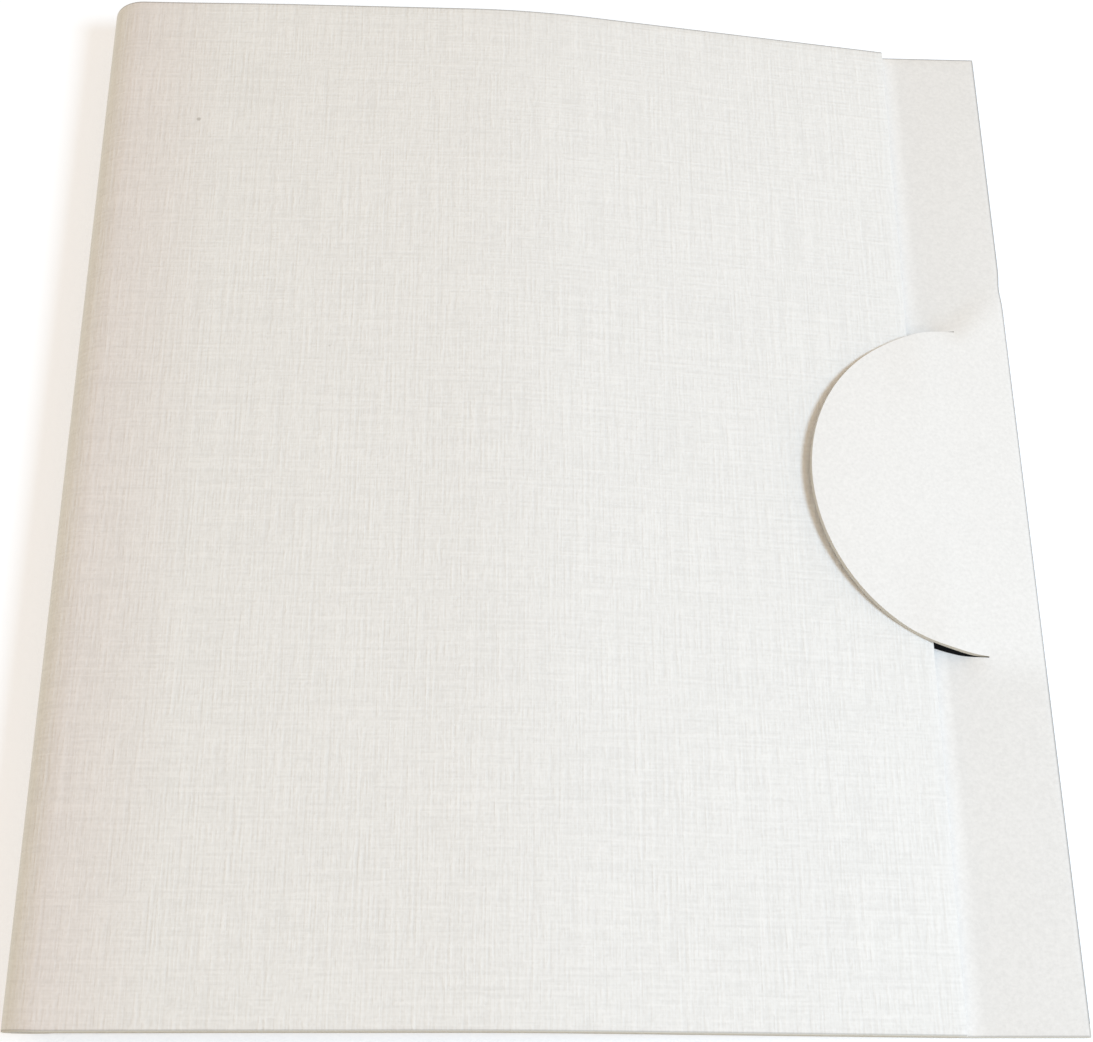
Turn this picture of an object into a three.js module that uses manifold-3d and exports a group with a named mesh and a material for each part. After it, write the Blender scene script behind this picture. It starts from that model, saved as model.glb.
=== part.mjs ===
// Photo folder: one die-cut card, folded over at the left and held shut by a half-round tongue.
// Units are millimetres. X runs from the fold to the free edge, Y along the fold, Z up from the table.
import * as THREE from 'three';
import { mergeVertices } from 'three/addons/utils/BufferGeometryUtils.js';
import Module from 'manifold-3d';

// Card
const CARD_THICKNESS = 0.45;
const FOLDER_WIDTH = 80;
const FOLDER_DEPTH = 89;

// Rounded fold, and the cover's rise and fall over the back panel
const FOLD_RADIUS = 3;
const COVER_CROWN = 0.15;
const COVER_CREST_RUN = 14;
const COVER_SLOPE_RUN = 27.9;
const COVER_BEND_RUN = 11;
const COVER_EDGE_CLEARANCE = 0.42;
const STRIP_WIDTH = 9.1;
const FOLD_STEPS = 28;
const COVER_STEPS = 40;

// Locking tongue: a half-round flap cut in the back panel's free strip
const TONGUE_RADIUS = 15;
const TONGUE_CENTRE_INSET = 4;
const TONGUE_ROOT_INSET = 4.8;
const TONGUE_RISE_DEG = 13;
const TONGUE_BEND_LENGTH = 2.5;
const TONGUE_DROOP = 0.25;
const SLIT_WIDTH = 0.15;
const TONGUE_LAP = 0.8;
const ROUND_STEPS = 72;

// The strip lifts a little at the tongue's root, because the tongue lies over the cover
const STRIP_LIFT = 0.76;
const LIFT_FULL_HALF_SPAN = 13.2;
const LIFT_FADE = 3;
const LIFT_INNER_REACH = 2.4;
const FAR_CREASE_SLANT = 0.88;
const NEAR_CREASE_SLANT = 0.1;

// Grid of the free strip
const STRIP_CELL = 0.8;
const STRIP_ROWS = 89;

const middleY = FOLDER_DEPTH / 2;
const coverEdgeX = FOLDER_WIDTH - STRIP_WIDTH;
const slopeStartX = coverEdgeX - COVER_SLOPE_RUN;
const shoulderX = slopeStartX - COVER_BEND_RUN;
const tongueCentreX = FOLDER_WIDTH - TONGUE_CENTRE_INSET;
const tongueRootX = FOLDER_WIDTH - TONGUE_ROOT_INSET;
const tongueReach = tongueRootX - tongueCentreX + TONGUE_RADIUS;
const stripColumns = Math.ceil((tongueReach + 1) / STRIP_CELL);
const stripStartX = tongueRootX - stripColumns * STRIP_CELL;
const wasm = await Module();
wasm.setup();

function smooth(value) {
  const t = Math.min(1, Math.max(0, value));
  return t * t * (3 - 2 * t);
}

// Share of the full lift. It fades across a crease that runs from each end of the slit to the free edge.
function liftAlong(x, y) {
  const slant = y > middleY ? FAR_CREASE_SLANT : NEAR_CREASE_SLANT;
  const away = Math.abs(y - middleY) - slant * Math.max(0, x - tongueRootX);
  return 1 - smooth((away - LIFT_FULL_HALF_SPAN) / LIFT_FADE);
}

// Height that the strip has over the table: full at the tongue's root, none at the free edge
function stripLift(x, y) {
  const outer = (FOLDER_WIDTH - x) / TONGUE_ROOT_INSET;
  const inner = 1 - smooth((tongueRootX - x) / LIFT_INNER_REACH);
  return STRIP_LIFT * Math.min(1, outer) * inner * liftAlong(x, y);
}

// Height of the tongue: it leaves the strip at the strip's slope, bends up, and straightens out to its tip
function tongueLift(x, y) {
  const run = tongueRootX - x;
  if (run <= 0) {
    return stripLift(x, y);
  }
  const rootSlope = STRIP_LIFT / TONGUE_ROOT_INSET;
  const fullSlope = Math.tan(THREE.MathUtils.degToRad(TONGUE_RISE_DEG));
  const bend = Math.min(run, TONGUE_BEND_LENGTH);
  const free = run - bend;
  const bent = rootSlope * bend + ((fullSlope - rootSlope) * bend * bend) / (2 * TONGUE_BEND_LENGTH);
  const freeLength = tongueReach - TONGUE_BEND_LENGTH;
  const twist = 1 - smooth(run / (STRIP_WIDTH - TONGUE_ROOT_INSET));
  const base = STRIP_LIFT * (1 - twist * (1 - liftAlong(tongueRootX, y)));
  return base + bent + fullSlope * free - TONGUE_DROOP * (free / freeLength) ** 2;
}

function toManifold(geometry) {
  const bare = geometry.clone();
  bare.deleteAttribute('normal');
  bare.deleteAttribute('uv');
  const merged = mergeVertices(bare, 1e-5);
  const mesh = new wasm.Mesh({
    numProp: 3,
    vertProperties: Float32Array.from(merged.attributes.position.array),
    triVerts: Uint32Array.from(merged.index.array),
  });
  return new wasm.Manifold(mesh);
}

function toGeometry(solid) {
  const mesh = solid.getMesh();
  const geometry = new THREE.BufferGeometry();
  geometry.setAttribute('position', new THREE.BufferAttribute(Float32Array.from(mesh.vertProperties), 3));
  geometry.setIndex(new THREE.BufferAttribute(Uint32Array.from(mesh.triVerts), 1));
  geometry.computeVertexNormals();
  return geometry;
}

// Height of the cover's outer face over the table
function coverTop(x) {
  const foldTop = 2 * FOLD_RADIUS;
  const crest = foldTop + COVER_CROWN;
  const edge = 2 * CARD_THICKNESS + COVER_EDGE_CLEARANCE;
  const slope = (crest - edge) / (COVER_SLOPE_RUN + COVER_BEND_RUN / 2);
  if (x < FOLD_RADIUS + COVER_CREST_RUN) {
    return foldTop + COVER_CROWN * smooth((x - FOLD_RADIUS) / (COVER_CREST_RUN));
  }
  if (x < shoulderX) {
    return crest;
  }
  if (x < slopeStartX) {
    return crest - (slope * (x - shoulderX) ** 2) / (2 * COVER_BEND_RUN);
  }
  return crest - slope * (COVER_BEND_RUN / 2 + x - slopeStartX);
}

// Middle line of the folded card, seen from the near end
function cardLine() {
  const half = CARD_THICKNESS / 2;
  const radius = FOLD_RADIUS - half;
  const line = [new THREE.Vector2(stripStartX + STRIP_CELL, half)];
  for (let i = 0; i <= FOLD_STEPS; i += 1) {
    const angle = -Math.PI / 2 - (Math.PI * i) / FOLD_STEPS;
    line.push(new THREE.Vector2(FOLD_RADIUS + radius * Math.cos(angle), FOLD_RADIUS + radius * Math.sin(angle)));
  }
  for (let i = 1; i <= COVER_STEPS; i += 1) {
    const x = THREE.MathUtils.lerp(FOLD_RADIUS, coverEdgeX, i / COVER_STEPS);
    line.push(new THREE.Vector2(x, coverTop(x) - half));
  }
  return line;
}

// Outline of a card of even thickness along a line
function cardOutline(line) {
  const half = CARD_THICKNESS / 2;
  const left = [];
  const right = [];
  line.forEach((point, i) => {
    const before = line[Math.max(0, i - 1)];
    const after = line[Math.min(line.length - 1, i + 1)];
    const normal = new THREE.Vector2(before.y - after.y, after.x - before.x).normalize();
    left.push(point.clone().addScaledVector(normal, half));
    right.push(point.clone().addScaledVector(normal, -half));
  });
  return new THREE.Shape([...left, ...right.reverse()]);
}

// Back panel, fold and cover, as one profile drawn out along the fold
function foldedSheet() {
  const geometry = new THREE.ExtrudeGeometry(cardOutline(cardLine()), {
    depth: FOLDER_DEPTH,
    bevelEnabled: false,
  });
  geometry.rotateX(Math.PI / 2);
  geometry.translate(0, FOLDER_DEPTH, 0);
  return geometry;
}

// Flat card between two X values, lifted off the table by the given heights
function liftedCard(startX, endX, startRow, endRow, lift) {
  const rowHeight = FOLDER_DEPTH / STRIP_ROWS;
  const columns = Math.round((endX - startX) / STRIP_CELL);
  const rows = endRow - startRow;
  const geometry = new THREE.BoxGeometry(endX - startX, rows * rowHeight, CARD_THICKNESS, columns, rows, 1);
  geometry.translate((startX + endX) / 2, ((startRow + endRow) / 2) * rowHeight, CARD_THICKNESS / 2);
  const place = geometry.attributes.position;
  for (let i = 0; i < place.count; i += 1) {
    place.setZ(i, place.getZ(i) + lift(place.getX(i), place.getY(i)));
  }
  return geometry;
}

// Upright prism on the half-round's plan, from its tip to a line past the root
function halfRound(radius, endX) {
  const reach = Math.acos((tongueRootX - tongueCentreX) / radius);
  const plan = new THREE.Shape();
  plan.absarc(tongueCentreX, middleY, radius, reach, 2 * Math.PI - reach, false);
  if (endX > tongueRootX) {
    plan.lineTo(endX, middleY - radius * Math.sin(reach));
    plan.lineTo(endX, middleY + radius * Math.sin(reach));
  }
  plan.closePath();
  const geometry = new THREE.ExtrudeGeometry(plan, {
    depth: 4 * FOLD_RADIUS,
    bevelEnabled: false,
    curveSegments: ROUND_STEPS,
  });
  geometry.translate(0, 0, -FOLD_RADIUS);
  return geometry;
}

// The half-round cutter for the hole stays below the cover
function holeCutter() {
  return toManifold(halfRound(TONGUE_RADIUS, tongueRootX));
}

// Free strip of the back panel, with the part of the panel that the tongue is cut in
function strip() {
  return toManifold(liftedCard(stripStartX, FOLDER_WIDTH, 0, STRIP_ROWS, stripLift));
}

function tongue() {
  const endX = tongueRootX + TONGUE_LAP;
  const rowHeight = FOLDER_DEPTH / STRIP_ROWS;
  const startRow = Math.floor((middleY - TONGUE_RADIUS - 1) / rowHeight);
  const endRow = Math.ceil((middleY + TONGUE_RADIUS + 1) / rowHeight);
  const sheet = toManifold(liftedCard(stripStartX, endX, startRow, endRow, tongueLift));
  return sheet.intersect(toManifold(halfRound(TONGUE_RADIUS - SLIT_WIDTH, endX)));
}

// The hole goes through the strip and the back panel, before the cover is joined on
const backing = toManifold(foldedSheet());
const card = backing
  .add(strip().subtract(holeCutter()))
  .add(tongue());

const cardMaterial = new THREE.MeshStandardMaterial({ color: 0xe9e6e1, roughness: 0.82, metalness: 0 });
const foldedCard = new THREE.Mesh(toGeometry(card), cardMaterial);
foldedCard.name = 'folded_card';
foldedCard.position.set(-FOLDER_WIDTH / 2, -FOLDER_DEPTH / 2, 0);

const group = new THREE.Group();
group.add(foldedCard);

export default group;
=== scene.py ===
"""Photo folder: one folded card with a linen face and a half-round locking tongue.

The card is made as the real one is. A flat blank is laid out, the tongue's slit is cut in it, and
then it is folded. Sizes are in millimetres and become metres as the finished mesh is placed. X runs
from the fold to the free edge, Y runs along the fold to the far end, and Z runs up from the table.
Places across the blank are those of the closed folder on the back panel, and go on below that
through the fold and the cover.
"""

from __future__ import annotations

import logging
import math
from dataclasses import dataclass, field
from enum import Enum

import bmesh
import bpy
from mathutils import Matrix, Vector

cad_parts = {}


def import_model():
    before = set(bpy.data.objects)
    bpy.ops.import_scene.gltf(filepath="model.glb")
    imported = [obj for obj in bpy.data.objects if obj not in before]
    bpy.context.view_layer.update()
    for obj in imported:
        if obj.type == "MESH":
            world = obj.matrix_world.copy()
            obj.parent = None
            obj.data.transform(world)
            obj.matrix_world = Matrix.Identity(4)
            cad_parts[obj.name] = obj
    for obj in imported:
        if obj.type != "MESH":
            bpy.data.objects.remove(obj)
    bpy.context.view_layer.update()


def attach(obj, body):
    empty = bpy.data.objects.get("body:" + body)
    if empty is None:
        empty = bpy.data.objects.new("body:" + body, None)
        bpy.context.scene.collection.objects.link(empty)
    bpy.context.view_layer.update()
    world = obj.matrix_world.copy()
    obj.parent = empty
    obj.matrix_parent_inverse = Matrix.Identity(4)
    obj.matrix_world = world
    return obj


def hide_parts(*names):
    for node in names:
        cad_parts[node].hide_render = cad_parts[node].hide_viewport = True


Socket = bpy.types.NodeSocket
Colour = tuple[float, float, float]
Place = tuple[float, float, float]
Span = tuple[float, float]

LOG = logging.getLogger("photo_folder")
METRES = 0.001
UNIT: Span = (0.0, 1.0)
ROUNDING = 1e-6


class CardFace(Enum):
    """The faces of the card, each with its own finish, in the order of the material slots."""

    LINEN = 0
    INSIDE = 1
    CUT_EDGE = 2
    GREY_EDGE = 3
    WORN_EDGE = 4


@dataclass(frozen=True)
class CardSize:
    """The card and its two panels, in millimetres.

    Attributes:
        thickness: Thickness of the card.
        width: From the fold to the free edge.
        depth: Along the fold.
        fold_radius: Outer radius of the fold.
        cover_edge: Place of the cover's free edge, before its skew.
        edge_near: Place of that edge at the near end, as the cover lies a little askew.
        edge_far: Place of that edge at the far end.
        near_bow: Share of the cover's rise by which the back panel's near edge stands back.
        bow_reach: How far along the folder that fades out.
        edge_clearance: Gap under the cover's free edge.
        crown: Rise of the cover over the top of the fold.
        crest: Where the cover has its full height.
        shoulder: Where the cover starts to bend down.
        slope_start: Where the cover's straight slope starts.
    """

    thickness: float = 0.45
    width: float = 80.0
    depth: float = 89.0
    fold_radius: float = 3.0
    cover_edge: float = 70.9
    edge_near: float = 70.35
    edge_far: float = 71.12
    near_bow: float = 0.085
    bow_reach: float = 12.0
    edge_clearance: float = 0.42
    crown: float = 0.15
    crest: float = 17.0
    shoulder: float = 32.0
    slope_start: float = 43.0

    @property
    def half(self) -> float:
        """Half of the card's thickness."""
        return self.thickness / 2

    @property
    def bend_radius(self) -> float:
        """Radius of the card's middle in the fold."""
        return self.fold_radius - self.half

    @property
    def bend_length(self) -> float:
        """Length of card that the fold takes up."""
        return math.pi * self.bend_radius

    @property
    def blank_start(self) -> float:
        """Place of the cover's free edge on the flat blank."""
        return self.fold_radius - self.bend_length - (self.cover_edge - self.fold_radius)


@dataclass(frozen=True)
class TongueSize:
    """The half-round tongue and the lift of the strip that carries it, in millimetres.

    Attributes:
        radius: Radius of the slit's outer side.
        centre_x: Centre of the half-round.
        root_x: Where the tongue bends up out of the strip.
        slit: Width of the slit.
        rise: Angle of the tongue over the table.
        bend: Length of card that bends up to that angle.
        droop: How far the tip hangs under that slope.
        side_droop: How far the sides hang under it.
        side_start: How far from the bend the sides hang in full.
        lift: Height of the root over the table.
        full_span: Half of the stretch that is lifted in full.
        fade: How far along the folder the lift fades out beyond that.
        inner_reach: How far the lift fades out towards the fold.
        far_slant: Slant of the crease at the far end, along the folder to across it.
        near_slant: The same at the near end.
        slit_steps: Facets along the slit.
        cutter_height: Half of the height of the cutter that makes the slit.
    """

    radius: float = 15.0
    centre_x: float = 76.0
    root_x: float = 75.2
    slit: float = 0.1
    rise: float = math.radians(11.5)
    bend: float = 2.5
    droop: float = 0.25
    side_droop: float = 0.55
    side_start: float = 5.0
    lift: float = 0.76
    full_span: float = 13.2
    fade: float = 4.2
    inner_reach: float = 2.4
    far_slant: float = 0.8
    near_slant: float = 0.1
    slit_steps: int = 96
    cutter_height: float = 1.0


@dataclass(frozen=True)
class EdgeKink:
    """The small dent that handling left in the free edge, in millimetres.

    Attributes:
        along: Its place along the folder.
        reach: Its half width.
        depth: Its depth.
        start: Where it starts across the folder.
        run: How far from there it grows to its depth.
    """

    along: float = 64.1
    reach: float = 1.1
    depth: float = 0.13
    start: float = 78.2
    run: float = 1.8


@dataclass(frozen=True)
class PaintedLightSpec:
    """Painted light on the smooth face, which is made lighter on the tongue and in a band beside
    the cover's edge.

    Attributes:
        flap: Share of the painted light on the tongue and round its root.
        edge_band: Width of the band of full painted light beside the cover's edge, and of its fade,
            in millimetres.
    """

    flap: float = 0.5
    edge_band: float = 0.8


@dataclass(frozen=True)
class BlankGrid:
    """How finely the blank is divided, with small cells where it bends, in millimetres and cells.

    Attributes:
        strip_start: Where the cells get finer for the tongue and its strip, across the folder.
        lift_start: Where they get finer along it.
        lift_end: Where they get coarser again.
        cover_cells: Cells across the cover.
        fold_cells: Cells round the fold.
        back_cells: Cells across the back panel up to the strip.
        strip_cells: Cells across the strip.
        near_cells: Cells along the near end.
        lift_cells: Cells along the tongue.
        far_cells: Cells along the far end.
    """

    strip_start: float = 59.0
    lift_start: float = 24.0
    lift_end: float = 66.0
    cover_cells: int = 70
    fold_cells: int = 32
    back_cells: int = 24
    strip_cells: int = 40
    near_cells: int = 24
    lift_cells: int = 84
    far_cells: int = 23


@dataclass(frozen=True)
class GridRun:
    """A stretch of the blank that is divided evenly."""

    start: float
    end: float
    cells: int


@dataclass(frozen=True)
class Speck:
    """A small mark on the cover, by its place on the flat blank, in millimetres.

    Attributes:
        across: Its place across the blank.
        along: Its place along the blank.
        radius: Where it has faded out.
        depth: Share of its colour in the middle.
        core: Share of the radius that has its full colour.
        colour: Its colour.
    """

    across: float
    along: float
    radius: float
    depth: float
    core: float = 0.4
    colour: Colour = (0.25, 0.22, 0.18)


@dataclass(frozen=True)
class EdgeLine:
    """The thin grey line along the card's edges.

    Attributes:
        reach: From where to where it fades out, in millimetres from the edge.
        tone: The card's tone at either place.
    """

    reach: Span = (0.08, 0.2)
    tone: Span = (0.6, 1.0)


@dataclass(frozen=True)
class CardFinish:
    """What each face of the card has.

    Attributes:
        name: The material's name.
        colour: The mean colour.
        mottle: How far the broad patches are lighter or darker.
        mottle_scale: Broad patches to the millimetre.
        octaves: Octaves of the patches and the fibres.
        fleck_tone_and_thread_shade: How far the fine pattern is lighter or darker in colour: the
            fibres' own flecks on the plain faces, and painted light and shade of the threads on the
            linen.
        strength: Strength of the bump.
        relief: Depth of the bump, in millimetres.
        roughness: The shader's roughness.
        specular: The shader's specular level.
    """

    name: str
    colour: Colour
    mottle: float = 0.015
    mottle_scale: float = 0.12
    octaves: float = 3.0
    fleck_tone_and_thread_shade: float = 0.045
    strength: float = 0.12
    relief: float = 0.01
    roughness: float = 0.7
    specular: float = 0.3


@dataclass(frozen=True)
class LinenFinish(CardFinish):
    """The card's outer face: a fine crossed thread emboss in warm white, in millimetres.

    Attributes:
        pitch: Scale of the threads, side by side.
        streak: Length of a long thread in pitches.
        dash: Length of a short thread in pitches.
        dashed: Share of the short threads.
        streak_shift: Where the pattern of the long threads starts.
        dash_shift: Where the pattern of the short threads starts.
        grain: Share of the fine grain between the threads.
        patch: Size of the patches in which one direction of the threads leads.
        patch_span: Range of the patches that is used.
        patch_share: Share of the threads along the fold over that range.
        weave_span: Range of the finished weave that is used.
        fold_shade: Painted shade: the warm, darker tone that the card takes towards the fold.
        fold_shade_span: From where to where it takes it, on the blank.
        rim_light: Painted light: the lighter tone that it takes on top of that at the fold's outer
            rim.
        rim_light_span: From where to where it takes that.
        specks: Small marks.
    """

    name: str = "linen_card"
    colour: Colour = (0.87, 0.87, 0.865)
    mottle: float = 0.012
    mottle_scale: float = 0.09
    fleck_tone_and_thread_shade: float = 0.055
    strength: float = 1.0
    relief: float = 0.035
    roughness: float = 0.72
    pitch: float = 0.25
    streak: float = 40.0
    dash: float = 5.0
    dashed: float = 0.45
    streak_shift: Place = (3.1, 7.7, 0.0)
    dash_shift: Place = (11.3, 2.9, 0.0)
    grain: float = 0.12
    patch: float = 1.6
    patch_span: Span = (0.35, 0.65)
    patch_share: Span = (0.42, 0.68)
    weave_span: Span = (0.395, 0.605)
    fold_shade: Colour = (0.94, 0.895, 0.88)
    fold_shade_span: Span = (-14.0, -6.0)
    rim_light: Colour = (1.085, 1.184, 1.227)
    rim_light_span: Span = (-5.2, -3.0)
    specks: tuple[Speck, ...] = ()


@dataclass(frozen=True)
class SmoothFinish(CardFinish):
    """A plain face of the card: faint fibres and a soft mottle.

    Attributes:
        fibres: Fibres to the millimetre.
        fibre_edge: Weight of their finer octaves.
        fibre_span: Range of the fibres that is used.
        painted_light_gain: How much lighter the painted light makes the card where its share is
            full.
        edge_line: Whether the edges have the grey line.
    """

    fibres: float = 3.5
    fibre_edge: float = 0.6
    fibre_span: Span = (0.3, 0.7)
    painted_light_gain: float = 0.0
    edge_line: bool = False


@dataclass(frozen=True)
class FloorSpec:
    """The pale floor.

    Attributes:
        half_side: Half of its side, in metres.
        drop: How far it lies under the card, in metres.
        dark: Its darker grey.
        pale: Its paler grey.
        mottle_scale: Patches to the metre.
        octaves: Octaves of the patches.
        glow: Colour of the light that only the camera sees, which whitens it.
        glow_strength: Strength of that light.
        cut_out_share: Share of the floor's light under the tongue's cut-out.
        cut_out_margin: How far past the slit that reaches, in millimetres.
    """

    half_side: float = 1.5
    drop: float = 0.00002
    dark: Colour = (0.93, 0.93, 0.93)
    pale: Colour = (0.95, 0.95, 0.95)
    mottle_scale: float = 6.0
    octaves: float = 3.0
    glow: Colour = (0.73, 0.84, 1.0)
    glow_strength: float = 0.34
    cut_out_share: float = 0.02
    cut_out_margin: float = 1.0


@dataclass(frozen=True)
class SkySpec:
    """The even sky: the light that it gives, and the white that the camera sees."""

    colour: Colour = (1.0, 0.845, 0.663)
    strength: float = 0.702
    seen: Colour = (1.0, 1.0, 1.0)


@dataclass(frozen=True)
class LampSpec:
    """A soft square lamp that looks at the folder, in metres and watts."""

    name: str
    place: Place
    side: float
    power: float
    colour: Colour


@dataclass(frozen=True)
class CameraSpec:
    """The photograph's view of the folder, solved from its corners.

    Attributes:
        place: Place over the folder's near corner by the fold, in millimetres.
        elevation: Angle that it looks down by, in degrees.
        azimuth: Angle that it looks to the right by, in degrees.
        roll: Angle that it is tilted by, in degrees.
        focal_share: Focal length over the frame's width, both in the photograph's pixels.
        sensor: Width of the sensor, in millimetres.
        clip_start: Nearest distance that it sees, in metres.
    """

    place: Place = (33.695, -10.227, 127.214)
    elevation: float = 67.867
    azimuth: float = 6.187
    roll: float = 6.418
    focal_share: float = 1650.0 / 1093.0
    sensor: float = 36.0
    clip_start: float = 0.005


def ease(value: float) -> float:
    """Steps softly from 0 to 1.

    Args:
        value: A share, which is held between 0 and 1.

    Returns:
        The share with a level start and end.
    """
    share = min(1.0, max(0.0, value))
    return share * share * (3 - 2 * share)


def shade(colour: Colour, factor: float) -> Colour:
    """Scales a colour, and keeps it under 1."""
    return tuple(min(1.0, part * factor) for part in colour)


def opaque(colour: Colour) -> tuple[float, ...]:
    """Adds a full alpha to a colour."""
    return (*colour, 1.0)


def linked(bm: bmesh.types.BMesh, name: str) -> bpy.types.Object:
    """Turns a bmesh into a linked object.

    Args:
        bm: The bmesh, which is freed.
        name: The object's name.

    Returns:
        The object.
    """
    mesh = bpy.data.meshes.new(name)
    bm.to_mesh(mesh)
    bm.free()
    made = bpy.data.objects.new(name, mesh)
    bpy.context.scene.collection.objects.link(made)
    return made


class NodeDesk:
    """Lays out the nodes of one material or of the world."""

    def __init__(self, owner: bpy.types.Material | bpy.types.World) -> None:
        """Clears the owner's node tree.

        Args:
            owner: What the nodes are laid out for.
        """
        owner.use_nodes = True
        self.tree = owner.node_tree
        self.tree.nodes.clear()

    def add(self, kind: str, **settings: object) -> bpy.types.Node:
        """Adds a node.

        Args:
            kind: The node's type, without its ShaderNode prefix.
            **settings: Properties to set on the node.

        Returns:
            The new node.
        """
        node = self.tree.nodes.new("ShaderNode" + kind)
        for key, value in settings.items():
            setattr(node, key, value)
        return node

    def put(self, value: object, target: Socket) -> None:
        """Gives a socket its value.

        Args:
            value: A number, a row of numbers, or a socket, which is linked.
            target: The socket that takes it.
        """
        if isinstance(value, Socket):
            self.tree.links.new(value, target)
        else:
            target.default_value = value

    def math(self, operation: str, first: Socket | float, second: Socket | float) -> Socket:
        """Adds a Math node.

        Args:
            operation: The node's operation.
            first: A number or a socket.
            second: A number or a socket.

        Returns:
            The node's output.
        """
        node = self.add("Math", operation=operation)
        for slot, value in enumerate((first, second)):
            self.put(value, node.inputs[slot])
        return node.outputs[0]

    def blend(self, first: Socket, second: Socket, share: Socket | float) -> Socket:
        """Blends two values.

        Args:
            first: The first value.
            second: The second value.
            share: The share of the second value.

        Returns:
            The blended value.
        """
        rest = 1 - share if isinstance(share, float) else self.math("SUBTRACT", 1.0, share)
        parts = self.math("MULTIPLY", first, rest), self.math("MULTIPLY", second, share)
        return self.math("ADD", *parts)

    def span(self, source: Socket, taken: Span, given: Span, shape: str = "LINEAR") -> Socket:
        """Maps one range onto another, and holds the result in it.

        Args:
            source: The value.
            taken: The range that is read.
            given: The range that is given back.
            shape: The node's interpolation.

        Returns:
            The mapped value.
        """
        node = self.add("MapRange", interpolation_type=shape)
        self.put(source, node.inputs["Value"])
        for name, value in zip(("From Min", "From Max", "To Min", "To Max"), taken + given):
            self.put(value, node.inputs[name])
        return node.outputs["Result"]

    def parts(self, source: Socket) -> bpy.types.NodeOutputs:
        """Splits a coordinate.

        Args:
            source: The coordinate.

        Returns:
            Its X, Y and Z.
        """
        node = self.add("SeparateXYZ")
        self.put(source, node.inputs[0])
        return node.outputs

    def distance(self, source: Socket, place: Place) -> Socket:
        """Measures how far a coordinate is from a fixed place.

        Args:
            source: The coordinate.
            place: The place.

        Returns:
            The distance.
        """
        node = self.add("VectorMath", operation="DISTANCE")
        self.put(source, node.inputs[0])
        self.put(place, node.inputs[1])
        return node.outputs["Value"]

    def scaled(self, source: Socket, scale: Place, shift: Place = (0.0, 0.0, 0.0)) -> Socket:
        """Scales and shifts a coordinate.

        Args:
            source: The coordinate.
            scale: The factor on each axis.
            shift: What is added after that.

        Returns:
            The changed coordinate.
        """
        node = self.add("Mapping")
        self.put(shift, node.inputs["Location"])
        self.put(scale, node.inputs["Scale"])
        self.put(source, node.inputs["Vector"])
        return node.outputs["Vector"]

    def noise(
        self, source: Socket, scale: float = 1.0, detail: float = 1.0, roughness: float = 0.5
    ) -> Socket:
        """Adds a noise.

        Args:
            source: The coordinate that it reads.
            scale: Its scale.
            detail: Its number of octaves.
            roughness: The weight of the finer octaves.

        Returns:
            The noise's value.
        """
        node = self.add("TexNoise")
        self.put(scale, node.inputs["Scale"])
        self.put(detail, node.inputs["Detail"])
        self.put(roughness, node.inputs["Roughness"])
        self.put(source, node.inputs["Vector"])
        return node.outputs["Fac"]

    def mix(
        self, share: Socket, first: Socket | Colour, second: Colour, way: str = "MIX"
    ) -> Socket:
        """Mixes two colours.

        Args:
            share: How far the second colour is taken.
            first: The first colour, as a value or a socket.
            second: The second colour.
            way: The node's blend type.

        Returns:
            The mixed colour.
        """
        node = self.add("Mix", data_type="RGBA", blend_type=way)
        self.put(share, node.inputs["Factor"])
        colours = [socket for socket in node.inputs if socket.type == "RGBA"]
        self.put(first if isinstance(first, Socket) else opaque(first), colours[0])
        self.put(opaque(second), colours[1])
        return next(socket for socket in node.outputs if socket.type == "RGBA")

    def times(self, colour: Socket, factor: Socket) -> Socket:
        """Multiplies a colour by a value.

        Args:
            colour: The colour.
            factor: The value.

        Returns:
            The colour times the value.
        """
        node = self.add("VectorMath", operation="SCALE")
        self.put(colour, node.inputs[0])
        self.put(factor, node.inputs["Scale"])
        return node.outputs[0]

    def mottled(self, source: Socket, finish: CardFinish) -> Socket:
        """Gives a finish's colour in broad, soft patches.

        Args:
            source: The coordinate that the patches read.
            finish: The finish's values.

        Returns:
            The colour.
        """
        patches = self.noise(source, finish.mottle_scale, finish.octaves)
        dark, pale = (shade(finish.colour, 1 + side * finish.mottle) for side in (-1, 1))
        return self.mix(patches, dark, pale)

    def card_surface(self, colour: Socket, height: Socket, finish: CardFinish) -> None:
        """Adds the shader, the bump and the output.

        Args:
            colour: The base colour.
            height: The height that the bump reads.
            finish: The finish's values.
        """
        bump = self.add("Bump")
        self.put(finish.strength, bump.inputs["Strength"])
        self.put(finish.relief * METRES, bump.inputs["Distance"])
        self.put(height, bump.inputs["Height"])
        shader = self.add("BsdfPrincipled")
        self.put(finish.roughness, shader.inputs["Roughness"])
        self.put(finish.specular, shader.inputs["Specular IOR Level"])
        self.put(colour, shader.inputs["Base Color"])
        self.put(bump.outputs["Normal"], shader.inputs["Normal"])
        self.put(shader.outputs["BSDF"], self.add("OutputMaterial").inputs["Surface"])


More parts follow.
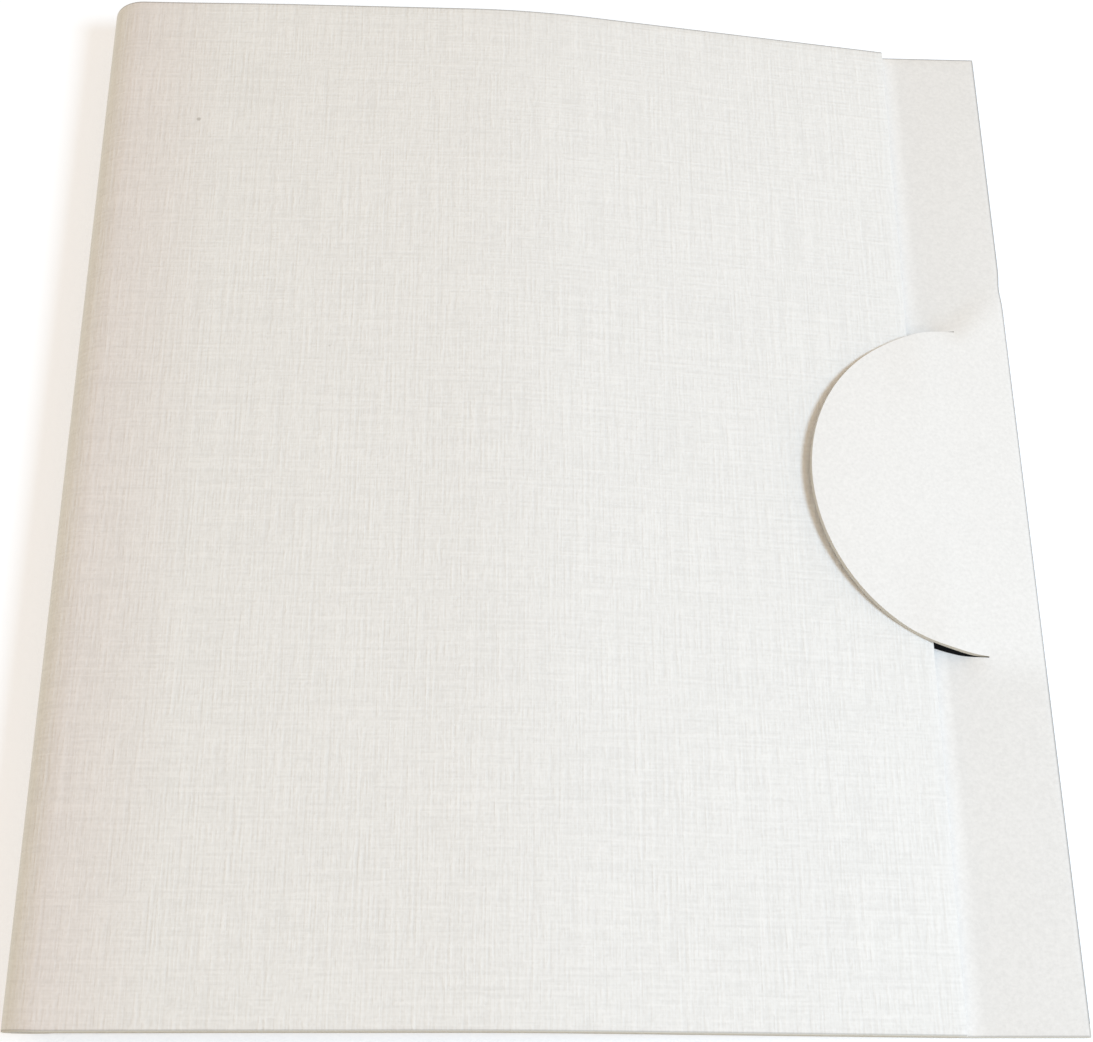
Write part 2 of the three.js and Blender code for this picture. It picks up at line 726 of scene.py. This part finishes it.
@dataclass
class CardFinishes:
    """Builds the materials of the card."""

    SHEET_MAP = "sheet"
    # Name of the mesh attribute that holds the share of painted light.
    PAINTED_LIGHT = "painted_light"

    size: CardSize = field(default_factory=CardSize)
    line: EdgeLine = field(default_factory=EdgeLine)

    def linen(self, finish: LinenFinish) -> bpy.types.Material:
        """Builds the embossed face.

        Args:
            finish: The finish's values.

        Returns:
            The material.
        """
        material = bpy.data.materials.new(finish.name)
        desk = NodeDesk(material)
        sheet = self.sheet(desk)
        weave = self.weave(desk, sheet, finish)
        colour = desk.mottled(sheet, finish)
        across = desk.parts(sheet)["X"]
        # Painted shade: the card is made warmer and darker towards the fold. Painted light: it is
        # made lighter again at the fold's outer rim.
        painted_tones = ((finish.fold_shade, finish.fold_shade_span), (finish.rim_light, finish.rim_light_span))
        for tone, reach in painted_tones:
            colour = desk.mix(desk.span(across, reach, UNIT), colour, tone, "MULTIPLY")
        # Painted light and shade of the emboss: the raised threads are made lighter and the hollows
        # darker in colour, on top of the bump.
        colour = desk.times(colour, desk.span(weave, UNIT, (1 - finish.fleck_tone_and_thread_shade, 1 + finish.fleck_tone_and_thread_shade)))
        for speck in finish.specks:
            away = desk.distance(sheet, (speck.across, speck.along, 0.0))
            fade = (speck.radius * speck.core, speck.radius)
            share = desk.span(away, fade, (speck.depth, 0.0), "SMOOTHSTEP")
            colour = desk.mix(share, colour, speck.colour)
        colour = self.with_edge_line(desk, colour)
        desk.card_surface(colour, weave, finish)
        return material

    def smooth(self, finish: SmoothFinish) -> bpy.types.Material:
        """Builds a plain face.

        Args:
            finish: The finish's values.

        Returns:
            The material.
        """
        material = bpy.data.materials.new(finish.name)
        desk = NodeDesk(material)
        place = desk.scaled(desk.add("TexCoord").outputs["Object"], (1 / METRES,) * 3)
        fibres = desk.noise(place, finish.fibres, finish.octaves, finish.fibre_edge)
        flecks = desk.span(fibres, finish.fibre_span, (1 - finish.fleck_tone_and_thread_shade, 1 + finish.fleck_tone_and_thread_shade))
        # Painted light: the card is made lighter on the tongue and beside the cover's edge, by a
        # share stored on the mesh.
        painted_light = desk.add("Attribute", attribute_name=self.PAINTED_LIGHT).outputs["Fac"]
        gain = desk.span(painted_light, UNIT, (1.0, 1.0 + finish.painted_light_gain))
        colour = desk.times(desk.mottled(place, finish), desk.math("MULTIPLY", flecks, gain))
        if finish.edge_line:
            colour = self.with_edge_line(desk, colour)
        desk.card_surface(colour, fibres, finish)
        return material

    def sheet(self, desk: NodeDesk) -> Socket:
        """Gives the coordinate on the flat blank, in millimetres."""
        return desk.add("UVMap", uv_map=self.SHEET_MAP).outputs["UV"]

    def weave(self, desk: NodeDesk, sheet: Socket, finish: LinenFinish) -> Socket:
        """Weaves the two directions of the emboss.

        Args:
            desk: The material's desk.
            sheet: The coordinate on the flat blank.
            finish: The finish's values.

        Returns:
            The emboss's height, from 0 to 1.
        """
        fine, broad = 1 / finish.pitch, 1 / finish.patch
        down = self.threads(desk, sheet, Vector((fine, 0, 1)), Vector((0, fine, 0)), finish)
        across = self.threads(desk, sheet, Vector((0, fine, 1)), Vector((fine, 0, 0)), finish)
        patches = desk.noise(desk.scaled(sheet, (broad, broad, 1)))
        share = desk.span(patches, finish.patch_span, finish.patch_share)
        grain = desk.noise(desk.scaled(sheet, (fine, fine, 1)), detail=0.0)
        weave = desk.blend(desk.blend(across, down, share), grain, finish.grain)
        return desk.span(weave, finish.weave_span, UNIT)

    @staticmethod
    def threads(
        desk: NodeDesk, sheet: Socket, beside: Vector, along: Vector, finish: LinenFinish
    ) -> Socket:
        """Draws one direction of the emboss, as long, straight threads with short ones between.

        Args:
            desk: The material's desk.
            sheet: The coordinate on the flat blank.
            beside: The noise's scale from one thread to the next.
            along: The scale in the threads' own direction, which their length divides.
            finish: The finish's values.

        Returns:
            The threads' height, around one half.
        """
        long, short = (
            desk.noise(desk.scaled(sheet, tuple(beside + along / length), shift))
            for length, shift in (
                (finish.streak, finish.streak_shift),
                (finish.dash, finish.dash_shift),
            )
        )
        return desk.blend(long, short, finish.dashed)

    def with_edge_line(self, desk: NodeDesk, colour: Socket) -> Socket:
        """Greys the card in a thin line at its near, far and free edges.

        Args:
            desk: The material's desk.
            colour: The colour before the line.

        Returns:
            The colour with the line.
        """
        place = desk.parts(self.sheet(desk))
        far = desk.math("SUBTRACT", self.size.depth, place["Y"])
        free = desk.math("SUBTRACT", self.size.width, place["X"])
        inset = desk.math("MINIMUM", desk.math("MINIMUM", far, free), place["Y"])
        return desk.times(colour, desk.span(inset, self.line.reach, self.line.tone))


@dataclass
class FoldedCard:
    """The whole folder: back panel, fold, cover and locking tongue in one piece of card.

    Attributes:
        size: The card's size.
        tongue: The tongue's size.
        kink: The dent in the free edge.
        painted_light: Where the smooth face is made lighter by painted light.
        grid: The cells of the blank.
        rim: Width of the bevel round the blank, in millimetres.
        rim_segments: Segments of that bevel.
        corner_angle: Angle between faces over which an edge is one of the rim's.
        smooth_angle: Angle between faces under which they are shaded as one.
        flat_normal: How upright the normal of a face of the card is, at the least.
        edge_margin: How near a face is to an edge of the blank to be part of it, in millimetres.
        slope_step: Step over which a slope is measured, in millimetres.
        weld: Distance under which the cutter's vertices are merged, in millimetres.
    """

    size: CardSize = field(default_factory=CardSize)
    tongue: TongueSize = field(default_factory=TongueSize)
    kink: EdgeKink = field(default_factory=EdgeKink)
    painted_light: PaintedLightSpec = field(default_factory=PaintedLightSpec)
    grid: BlankGrid = field(default_factory=BlankGrid)
    rim: float = 0.08
    rim_segments: int = 2
    corner_angle: float = 1.0
    smooth_angle: float = math.radians(50)
    flat_normal: float = 0.97
    edge_margin: float = 1.0
    slope_step: float = 0.05
    weld: float = 1e-5

    def columns(self) -> list[GridRun]:
        """Returns the runs across the blank, from the cover's edge to the free edge."""
        size, grid = self.size, self.grid
        fold_end = size.fold_radius - size.bend_length
        return [
            GridRun(size.blank_start, fold_end, grid.cover_cells),
            GridRun(fold_end, size.fold_radius, grid.fold_cells),
            GridRun(size.fold_radius, grid.strip_start, grid.back_cells),
            GridRun(grid.strip_start, size.width, grid.strip_cells),
        ]

    def rows(self) -> list[GridRun]:
        """Returns the runs along the blank, from the near end to the far end."""
        grid = self.grid
        return [
            GridRun(0.0, grid.lift_start, grid.near_cells),
            GridRun(grid.lift_start, grid.lift_end, grid.lift_cells),
            GridRun(grid.lift_end, self.size.depth, grid.far_cells),
        ]

    @staticmethod
    def spread(share: float, runs: list[GridRun]) -> float:
        """Finds a grid line's place.

        Args:
            share: The line's number over the number of cells.
            runs: The runs that the cells are spread over.

        Returns:
            The line's place on the blank.
        """
        line = share * sum(run.cells for run in runs)
        for run in runs:
            if line <= run.cells + ROUNDING:
                return run.start + (run.end - run.start) * line / run.cells
            line -= run.cells
        return runs[-1].end

    def cover_top(self, x: float) -> float:
        """Height of the cover's outer face over the table.

        Args:
            x: The place across the folder.

        Returns:
            The height.
        """
        size = self.size
        fold_top = 2 * size.fold_radius
        crest = fold_top + size.crown
        edge = 2 * size.thickness + size.edge_clearance
        bend = size.slope_start - size.shoulder
        slope = (crest - edge) / (size.cover_edge - size.slope_start + bend / 2)
        if x < size.crest:
            risen = ease((x - size.fold_radius) / (size.crest - size.fold_radius))
            return fold_top + size.crown * risen
        if x < size.shoulder:
            return crest
        if x < size.slope_start:
            return crest - slope * (x - size.shoulder) ** 2 / (2 * bend)
        return crest - slope * (bend / 2 + x - size.slope_start)

    def cover_edge_at(self, y: float) -> float:
        """Place of the cover's free edge, with its skew, by the place along the folder."""
        size = self.size
        return size.edge_near + (size.edge_far - size.edge_near) * y / size.depth

    def lift_along(self, x: float, y: float) -> float:
        """Share of the full lift, which fades across a crease from each slit end to the free edge.

        Args:
            x: The place across the folder.
            y: The place along it.

        Returns:
            The share.
        """
        cut = self.tongue
        off = y - self.size.depth / 2
        slant = cut.far_slant if off > 0 else cut.near_slant
        past = abs(off) - slant * max(0.0, x - cut.root_x) - cut.full_span
        return 1 - ease(past / cut.fade)

    def lift_inwards(self, x: float) -> float:
        """Share of the lift between the tongue's root and the fold, by the place across."""
        return 1 - ease((self.tongue.root_x - x) / self.tongue.inner_reach)

    def strip_lift(self, x: float, y: float) -> float:
        """Height of the back panel over the table, which is nothing but near the tongue's root.

        Args:
            x: The place across the folder.
            y: The place along it.

        Returns:
            The height.
        """
        cut = self.tongue
        outer = min(1.0, (self.size.width - x) / (self.size.width - cut.root_x))
        return cut.lift * outer * self.lift_inwards(x) * self.lift_along(x, y)

    def tongue_lift(self, x: float, y: float) -> float:
        """Height of the tongue over the table.

        Args:
            x: The place across the folder.
            y: The place along it.

        Returns:
            The height.
        """
        cut = self.tongue
        run = cut.root_x - x
        if run <= 0:
            return self.strip_lift(x, y)
        root_slope = cut.lift / (self.size.width - cut.root_x)
        full_slope = math.tan(cut.rise)
        bend = min(run, cut.bend)
        free = run - bend
        bent = root_slope * bend + (full_slope - root_slope) * bend * bend / (2 * cut.bend)
        reach = cut.root_x - cut.centre_x + cut.radius - cut.bend
        twist = 1 - ease(run / (cut.root_x - self.size.cover_edge))
        base = cut.lift * (1 - twist * (1 - self.lift_along(cut.root_x, y)))
        side = ((y - self.size.depth / 2) / cut.radius) ** 2 * ease(free / cut.side_start)
        risen = base + bent + full_slope * free
        return risen - cut.droop * (free / reach) ** 2 - cut.side_droop * side

    def on_tongue(self, x: float, y: float) -> bool:
        """Tells whether a place on the blank is on the tongue's side of the slit.

        Args:
            x: The place across the blank.
            y: The place along it.

        Returns:
            Whether it is on the tongue.
        """
        cut = self.tongue
        away = math.hypot(x - cut.centre_x, y - self.size.depth / 2)
        return x < cut.root_x and away < cut.radius - cut.slit / 2

    def near_gap(self, x: float, y: float) -> float:
        """How far the back panel's near edge stands back under the raised cover.

        Args:
            x: The place across the folder.
            y: The place along it.

        Returns:
            The distance along the folder.
        """
        size = self.size
        held = min(max(x, size.fold_radius), size.cover_edge)
        raised = self.cover_top(held) - self.cover_top(size.cover_edge)
        return size.near_bow * raised * (1 - ease(y / size.bow_reach))

    def on_back_panel(self, flat: Vector) -> Vector:
        """Places a point of the back panel, its strip or the tongue.

        Args:
            flat: The point on the blank.

        Returns:
            The point on the folded card.
        """
        size, root = self.size, self.tongue.root_x
        x, y, height = flat
        lift = self.tongue_lift if self.on_tongue(x, y) else self.strip_lift
        base = lift(x, y)
        slope = (base - lift(x - self.slope_step, y)) / self.slope_step
        lean = Vector((-slope, 0.0, 1.0)).normalized()
        dent = self.kink.depth * math.exp(-(((y - self.kink.along) / self.kink.reach) ** 2))
        dent *= ease((x - self.kink.start) / self.kink.run)
        held = size.half * max(0.0, -slope) * max(0.0, x - root) / (size.width - root)
        along = y + self.near_gap(x, y)
        return Vector((x - dent - held, along, size.half + base)) + lean * height

    def in_fold(self, flat: Vector, turn: float) -> Vector:
        """Places a point of the fold.

        Args:
            flat: The point on the blank.
            turn: How far round the fold it is, from the back panel, in radians.

        Returns:
            The point on the folded card.
        """
        size = self.size
        _, y, height = flat
        lean = Vector((math.sin(turn), 0.0, math.cos(turn)))
        along = y + self.near_gap(size.fold_radius, y) * (1 - turn / math.pi)
        middle = Vector((size.fold_radius, along, size.fold_radius))
        return middle - lean * size.bend_radius + lean * height

    def on_cover(self, flat: Vector) -> Vector:
        """Places a point of the cover.

        Args:
            flat: The point on the blank.

        Returns:
            The point on the folded card.
        """
        size, step = self.size, self.slope_step
        across, y, height = flat
        x = size.fold_radius + (size.fold_radius - size.bend_length - across)
        slope = (self.cover_top(x + step) - self.cover_top(x - step)) / (2 * step)
        lean = Vector((slope, 0.0, -1.0)).normalized()
        askew = self.cover_edge_at(y) - size.cover_edge
        skew = askew * (x - size.fold_radius) / (size.cover_edge - size.fold_radius)
        return Vector((x + skew, y, self.cover_top(x) - size.half)) + lean * height

    def folded(self, flat: Vector) -> Vector:
        """Folds one point of the blank.

        Args:
            flat: Its place across and along the blank, and its height over the card's middle.

        Returns:
            The point on the folded card.
        """
        if flat.x >= self.size.fold_radius:
            return self.on_back_panel(flat)
        turn = (self.size.fold_radius - flat.x) / self.size.bend_radius
        return self.in_fold(flat, turn) if turn <= math.pi else self.on_cover(flat)

    def painted_light_share(self, x: float, y: float) -> float:
        """Share of painted light on the smooth face, which makes it lighter.

        Args:
            x: The place across the folder.
            y: The place along it.

        Returns:
            The share, full beside the cover's edge and less on the tongue.
        """
        flap, edge_band = self.painted_light.flap, self.painted_light.edge_band
        if self.on_tongue(x, y):
            return flap
        # Painted light in a band beside the cover's edge.
        beside_edge = 1 - ease((x - self.cover_edge_at(y) - edge_band) / edge_band)
        return max(flap * self.lift_inwards(x) * self.lift_along(x, y), beside_edge)

    def blank(self) -> bpy.types.Object:
        """Lays out the flat card as a closed sheet of even thickness.

        Returns:
            The blank, with a fine bevel round its rim.
        """
        columns, rows = self.columns(), self.rows()
        across, along = (sum(run.cells for run in runs) for runs in (columns, rows))
        bm = bmesh.new()
        bmesh.ops.create_grid(bm, x_segments=across, y_segments=along, size=0.5)
        for vert in bm.verts:
            x, y = self.spread(vert.co.x + 0.5, columns), self.spread(vert.co.y + 0.5, rows)
            vert.co = Vector((x, y, -self.size.half))
        grown = bmesh.ops.extrude_face_region(bm, geom=bm.faces[:])
        raised = [part for part in grown["geom"] if isinstance(part, bmesh.types.BMVert)]
        bmesh.ops.translate(bm, verts=raised, vec=(0, 0, self.size.thickness))
        bmesh.ops.recalc_face_normals(bm, faces=bm.faces)
        corners = [edge for edge in bm.edges if edge.calc_face_angle(0.0) > self.corner_angle]
        bmesh.ops.bevel(
            bm,
            geom=corners,
            offset=self.rim,
            segments=self.rim_segments,
            affect="EDGES",
            profile=0.5,
            material=-1,
            clamp_overlap=True,
        )
        return linked(bm, "card_blank")

    def slit_cutter(self) -> bpy.types.Object:
        """Sweeps the thin half-round cutter that parts the tongue from the back panel.

        Returns:
            The cutter.
        """
        cut = self.tongue
        middle = Vector((cut.centre_x, self.size.depth / 2, 0.0))
        reach = math.acos((cut.root_x - cut.centre_x) / cut.radius)
        start = Vector((math.cos(reach), math.sin(reach), 0.0))
        inner, outer, tall = cut.radius - cut.slit, cut.radius, cut.cutter_height
        bm = bmesh.new()
        corners = [
            bm.verts.new(middle + start * radius + Vector((0, 0, height)))
            for radius, height in ((inner, -tall), (outer, -tall), (outer, tall), (inner, tall))
        ]
        bmesh.ops.spin(
            bm,
            geom=[bm.faces.new(corners)],
            cent=middle,
            axis=(0, 0, 1),
            angle=2 * math.pi - 2 * reach,
            steps=cut.slit_steps,
            use_duplicate=False,
        )
        bmesh.ops.remove_doubles(bm, verts=bm.verts, dist=self.weld)
        bmesh.ops.recalc_face_normals(bm, faces=bm.faces)
        return linked(bm, "slit_cutter")

    def cut_blank(self) -> bmesh.types.BMesh:
        """Cuts the slit in the blank.

        Returns:
            The cut blank.
        """
        blank, cutter = self.blank(), self.slit_cutter()
        knife = blank.modifiers.new("slit", "BOOLEAN")
        knife.operation = "DIFFERENCE"
        knife.solver = "EXACT"
        knife.object = cutter
        seen = blank.evaluated_get(bpy.context.evaluated_depsgraph_get())
        bm = bmesh.new()
        bm.from_mesh(seen.to_mesh())
        for spent in (blank, cutter):
            mesh = spent.data
            bpy.data.objects.remove(spent)
            bpy.data.meshes.remove(mesh)
        return bm

    def side_of(self, face: bmesh.types.BMFace) -> CardFace:
        """Tells which side or edge of the card a face of the flat blank is on.

        Args:
            face: The face.

        Returns:
            The side or edge.
        """
        size, margin = self.size, self.edge_margin
        x, y, _ = face.calc_center_median()
        if face.normal.z < -self.flat_normal:
            return CardFace.LINEN
        if face.normal.z > self.flat_normal:
            return CardFace.INSIDE
        if x < size.blank_start + 2 * self.rim:
            return CardFace.CUT_EDGE
        if y < margin or (x < size.width - margin and y < size.depth - margin):
            return CardFace.GREY_EDGE
        return CardFace.WORN_EDGE

    def build(self, finishes: dict[CardFace, bpy.types.Material]) -> bpy.types.Object:
        """Makes the folded card.

        Args:
            finishes: The material of each face.

        Returns:
            The card's object.
        """
        bm = self.cut_blank()
        sheet = bm.loops.layers.uv.new(CardFinishes.SHEET_MAP)
        painted_light = bm.verts.layers.float.new(CardFinishes.PAINTED_LIGHT)
        for face in bm.faces:
            face.smooth = True
            face.material_index = self.side_of(face).value
            for loop in face.loops:
                loop[sheet].uv = loop.vert.co.xy
        for edge in bm.edges:
            edge.smooth = edge.calc_face_angle(0.0) < self.smooth_angle
        corner = Vector((-self.size.width / 2, -self.size.depth / 2, 0.0))
        for vert in bm.verts:
            # Stores the share of painted light, which lightens the smooth face on the tongue and
            # beside the cover's edge.
            vert[painted_light] = self.painted_light_share(vert.co.x, vert.co.y)
            vert.co = (self.folded(vert.co) + corner) * METRES
        bm.normal_update()
        card = linked(bm, "card")
        for side in CardFace:
            card.data.materials.append(finishes[side])
        return card


@dataclass
class Studio:
    """The pale floor, the lamps, the sky and the camera."""

    lamps: list[LampSpec]
    floor_spec: FloorSpec = field(default_factory=FloorSpec)
    sky: SkySpec = field(default_factory=SkySpec)
    camera: CameraSpec = field(default_factory=CameraSpec)

    def floor(self, folder: FoldedCard) -> bpy.types.Object:
        """Builds the floor just under the card.

        Args:
            folder: The folder that lies on it.

        Returns:
            The floor.
        """
        spec = self.floor_spec
        bm = bmesh.new()
        bmesh.ops.create_grid(bm, x_segments=2, y_segments=2, size=spec.half_side)
        bmesh.ops.translate(bm, verts=bm.verts, vec=(0, 0, -spec.drop))
        made = linked(bm, "floor")
        material = bpy.data.materials.new("pale_floor")
        desk = NodeDesk(material)
        place = desk.add("TexCoord").outputs["Object"]
        patches = desk.noise(place, spec.mottle_scale, spec.octaves)
        lit = self.outside_cut_out(desk, place, folder)
        diffuse = desk.add("BsdfDiffuse")
        colour = desk.mix(patches, spec.dark, spec.pale)
        desk.put(desk.times(colour, lit), diffuse.inputs["Color"])
        glow = desk.add("Emission")
        desk.put(opaque(spec.glow), glow.inputs["Color"])
        seen = desk.math("MULTIPLY", desk.add("LightPath").outputs["Is Camera Ray"], lit)
        desk.put(desk.math("MULTIPLY", seen, spec.glow_strength), glow.inputs["Strength"])
        both = desk.add("AddShader")
        desk.put(diffuse.outputs["BSDF"], both.inputs[0])
        desk.put(glow.outputs["Emission"], both.inputs[1])
        desk.put(both.outputs["Shader"], desk.add("OutputMaterial").inputs["Surface"])
        made.data.materials.append(material)
        return made

    def outside_cut_out(self, desk: NodeDesk, place: Socket, folder: FoldedCard) -> Socket:
        """Gives the floor's share of light, which is nearly nothing under the tongue's cut-out.

        Args:
            desk: The material's desk.
            place: The floor's own coordinate.
            folder: The folder that lies on it.

        Returns:
            The share, 1 everywhere but under the cut-out, where the photograph shows black.
        """
        spec, cut = self.floor_spec, folder.tongue
        centre = ((cut.centre_x - folder.size.width / 2) * METRES, 0.0, 0.0)
        reach = (cut.radius + spec.cut_out_margin) * METRES
        near = desk.math("LESS_THAN", desk.distance(place, centre), reach)
        inner = desk.math("LESS_THAN", desk.parts(place)["X"], centre[0])
        return desk.span(desk.math("MULTIPLY", near, inner), UNIT, (1.0, spec.cut_out_share))

    @staticmethod
    def lamp(spec: LampSpec) -> None:
        """Builds one lamp.

        Args:
            spec: The lamp's values.
        """
        light = bpy.data.lights.new(spec.name, "AREA")
        light.shape = "SQUARE"
        light.size = spec.side
        light.energy = spec.power
        light.color = spec.colour
        made = bpy.data.objects.new(spec.name, light)
        made.location = spec.place
        made.rotation_euler = (-Vector(spec.place)).to_track_quat("-Z", "Y").to_euler()
        bpy.context.scene.collection.objects.link(made)

    def world(self) -> None:
        """Sets an even sky, which the camera sees as white."""
        world = bpy.data.worlds.new("studio")
        desk = NodeDesk(world)
        soft, white, mix = (desk.add(kind) for kind in ("Background", "Background", "MixShader"))
        desk.put(opaque(self.sky.colour), soft.inputs["Color"])
        desk.put(self.sky.strength, soft.inputs["Strength"])
        desk.put(opaque(self.sky.seen), white.inputs["Color"])
        desk.put(desk.add("LightPath").outputs["Is Camera Ray"], mix.inputs["Fac"])
        desk.put(soft.outputs["Background"], mix.inputs[1])
        desk.put(white.outputs["Background"], mix.inputs[2])
        desk.put(mix.outputs["Shader"], desk.add("OutputWorld").inputs["Surface"])
        bpy.context.scene.world = world

    def view(self, size: CardSize) -> None:
        """Sets up the camera at the photograph's viewing angle.

        Args:
            size: The folder's size, which the camera's place is counted from.
        """
        spec = self.camera
        down, turn = math.radians(spec.elevation), math.radians(spec.azimuth)
        out = math.cos(down)
        ahead = Vector((math.sin(turn) * out, math.cos(turn) * out, -math.sin(down)))
        level = ahead.cross(Vector((0, 0, 1))).normalized()
        above = level.cross(ahead)
        roll = math.radians(spec.roll)
        right = math.cos(roll) * level + math.sin(roll) * above
        upward = -math.sin(roll) * level + math.cos(roll) * above
        turned = Matrix((right, upward, -ahead)).transposed().to_4x4()
        corner = Vector((-size.width / 2, -size.depth / 2, size.thickness))
        data = bpy.data.cameras.new("camera")
        data.sensor_width = spec.sensor
        data.lens = spec.focal_share * spec.sensor
        data.clip_start = spec.clip_start
        made = bpy.data.objects.new("camera", data)
        made.matrix_world = Matrix.Translation((corner + Vector(spec.place)) * METRES) @ turned
        bpy.context.scene.collection.objects.link(made)
        bpy.context.scene.camera = made

    def build(self, folder: FoldedCard) -> None:
        """Builds all of it.

        Args:
            folder: The folder that it is built around.
        """
        self.floor(folder)
        for spec in self.lamps:
            self.lamp(spec)
        self.world()
        self.view(folder.size)
        bpy.context.scene.view_settings.view_transform = "Standard"


def main() -> None:
    logging.basicConfig(level=logging.INFO, format="%(name)s: %(message)s")
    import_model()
    maker = CardFinishes()
    specks = (Speck(-11.5, 76.42, 0.24, 0.42), Speck(-23.88, 54.3, 0.12, 0.25))
    # The inside face takes the painted light on the tongue and beside the cover's edge.
    inside = SmoothFinish("smooth_card", (0.838, 0.83, 0.821), painted_light_gain=0.1, edge_line=True)
    cut = SmoothFinish("cut_card_edge", (0.86, 0.86, 0.85), fibres=9.0)
    grey = SmoothFinish("grey_card_edge", (0.66, 0.65, 0.6), fibres=9.0)
    # A dark grey for the cut edges at the free and far ends of the card.
    dark_edge_finish = SmoothFinish("dark_card_edge", (0.36, 0.36, 0.36), fibres=9.0)
    finishes = {
        CardFace.LINEN: maker.linen(LinenFinish(specks=specks)),
        CardFace.INSIDE: maker.smooth(inside),
        CardFace.CUT_EDGE: maker.smooth(cut),
        CardFace.GREY_EDGE: maker.smooth(grey),
        CardFace.WORN_EDGE: maker.smooth(dark_edge_finish),
    }
    folder = FoldedCard()
    card = folder.build(finishes)
    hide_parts("folded_card")
    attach(card, "root")
    LOG.info("%s: %d faces", card.name, len(card.data.polygons))
    key_lamp = LampSpec(
        "key_lamp",
        place=(0.18, -0.05, 0.23),
        side=0.08,
        power=0.4747,
        colour=(0.5715, 0.7822, 1.0),
    )
    Studio([key_lamp]).build(folder)


if __name__ == "__main__":
    main()
